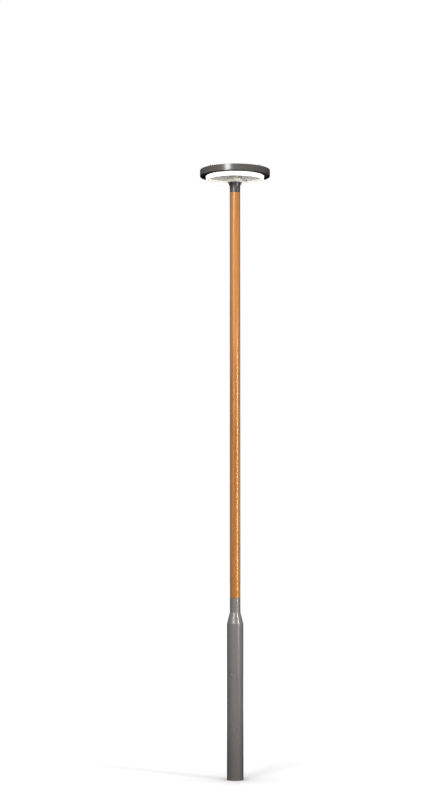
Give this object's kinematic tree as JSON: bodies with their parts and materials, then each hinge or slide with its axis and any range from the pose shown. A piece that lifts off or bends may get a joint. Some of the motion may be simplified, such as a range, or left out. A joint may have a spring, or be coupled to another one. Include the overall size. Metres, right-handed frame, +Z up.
{
  "type": "street lamp post",
  "caption": "Post-top street light: flat round lantern on a timber mast, over a steel foot tube with a service door.",
  "frame": {"origin": "centre of the anchor bolt circle on the ground, under the base plate", "axes": "+Z up the mast, -Y towards the front; the service door faces 23.3 degrees left of the front"},
  "size_m": [0.6, 0.6153, 5.188],
  "materials": {
    "painted_steel": "powder coat, fine texture, satin",
    "painted_cast": "powder coat on cast aluminium, satin",
    "timber": "oiled straight-grained timber",
    "clear_cover": "clear moulded acrylic with a frosted wall",
    "cream_paint": "cream powder coat",
    "zinc_steel": "hot-dip galvanised",
    "seal_rubber": "matt black",
    "stainless": "turned stainless",
    "bare_aluminium": "rolled, bare",
    "box_plastic": "moulded, fine spark texture",
    "carrier_plastic": "moulded",
    "gland_plastic": "moulded",
    "fuse_ceramic": "plain ceramic tube",
    "earth_brass": "turned",
    "cable_sheath": "smooth sheath",
    "board_white": "white solder mask",
    "led_phosphor": "phosphor dome",
    "lens_clear": "clear acrylic",
    "reflector_white": "pale grey satin paint",
    "driver_case": "moulded case",
    "surge_case": "moulded case"
  },
  "bodies": {
    "post": {"base_plate": "painted_steel", "base_terminal_block": "box_plastic", "base_tube": "painted_steel", "cable_glands": "gland_plastic", "cable_grommet": "seal_rubber", "central_column": "cream_paint", "cone_reducer": "painted_steel", "cover_clamp_ring": "bare_aluminium", "cover_gasket": "seal_rubber", "door_rest_strips": "zinc_steel", "earth_nuts": "earth_brass", "earth_stud": "earth_brass", "equipment_rail": "zinc_steel", "fuse_box_base": "box_plastic", "gear_tray": "bare_aluminium", "hinge_screws": "stainless", "lantern_m4_screws": "stainless", "lantern_m5_screws": "stainless", "lantern_terminal_block": "box_plastic", "led_board": "board_white", "led_driver": "driver_case", "led_lens_ring": "lens_clear", "leds": "led_phosphor", "lid_gasket": "seal_rubber", "lid_hinge_bracket": "painted_cast", "lid_hinge_pin": "stainless", "light_cover": "clear_cover", "lock_keeper": "zinc_steel", "mast_cable": "cable_sheath", "mast_centring_ring": "zinc_steel", "mast_collar": "painted_steel", "mast_seat_plate": "zinc_steel", "mast_set_screws": "stainless", "neck_casting": "painted_cast", "neck_gasket": "seal_rubber", "pressure_vent": "gland_plastic", "rail_screws": "stainless", "rail_standoffs": "zinc_steel", "reflector_plate": "reflector_white", "rim_ring": "painted_cast", "spigot_dowels": "stainless", "surge_protector": "surge_case", "timber_mast": "timber", "top_spigot": "zinc_steel"},
    "service_door": {"service_door": "painted_steel", "door_gasket": "seal_rubber", "door_tongue": "zinc_steel", "door_lock_barrel": "stainless"},
    "door_lock": {"door_lock_spindle": "stainless", "door_lock_cam": "stainless", "door_lock_nut": "stainless"},
    "canopy": {"canopy_lid": "painted_cast", "lid_hinge_leaf": "stainless", "latch_bushes": "gland_plastic"},
    "latch_left": {"lid_latch_left": "stainless"},
    "latch_right": {"lid_latch_right": "stainless"},
    "fuse_line": {"fuse_carrier_line": "carrier_plastic", "fuse_link_line": "fuse_ceramic"},
    "fuse_neutral": {"fuse_carrier_neutral": "carrier_plastic", "fuse_link_neutral": "fuse_ceramic"}
  },
  "joints": [
    {"name": "door_tilt", "type": "hinge", "parent": "post", "child": "service_door", "pos_m": [-0.02763, -0.06415, 0.5], "axis": [0.9184, -0.3955, 0], "range_deg": [0, 50]},
    {"name": "door_lock_turn", "type": "hinge", "parent": "service_door", "child": "door_lock", "pos_m": [-0.02373, -0.05511, 0.875], "axis": [-0.3955, -0.9184, 0], "range_deg": [0, 90]},
    {"name": "canopy_lift", "type": "hinge", "parent": "post", "child": "canopy", "pos_m": [0, 0.306, 5.172], "axis": [-1, 0, 0], "range_deg": [0, 75]},
    {"name": "latch_left_turn", "type": "hinge", "parent": "canopy", "child": "latch_left", "pos_m": [-0.2007, -0.16841, 5.16], "axis": [0, 0, -1], "range_deg": [0, 90]},
    {"name": "latch_right_turn", "type": "hinge", "parent": "canopy", "child": "latch_right", "pos_m": [0.2007, -0.16841, 5.16], "axis": [0, 0, -1], "range_deg": [0, 90]},
    {"name": "fuse_line_pull", "type": "slide", "parent": "post", "child": "fuse_line", "axis": [-0.3955, -0.9184, 0], "range_m": [0, 0.03]},
    {"name": "fuse_neutral_pull", "type": "slide", "parent": "post", "child": "fuse_neutral", "axis": [-0.3955, -0.9184, 0], "range_m": [0, 0.03]}
  ]
}
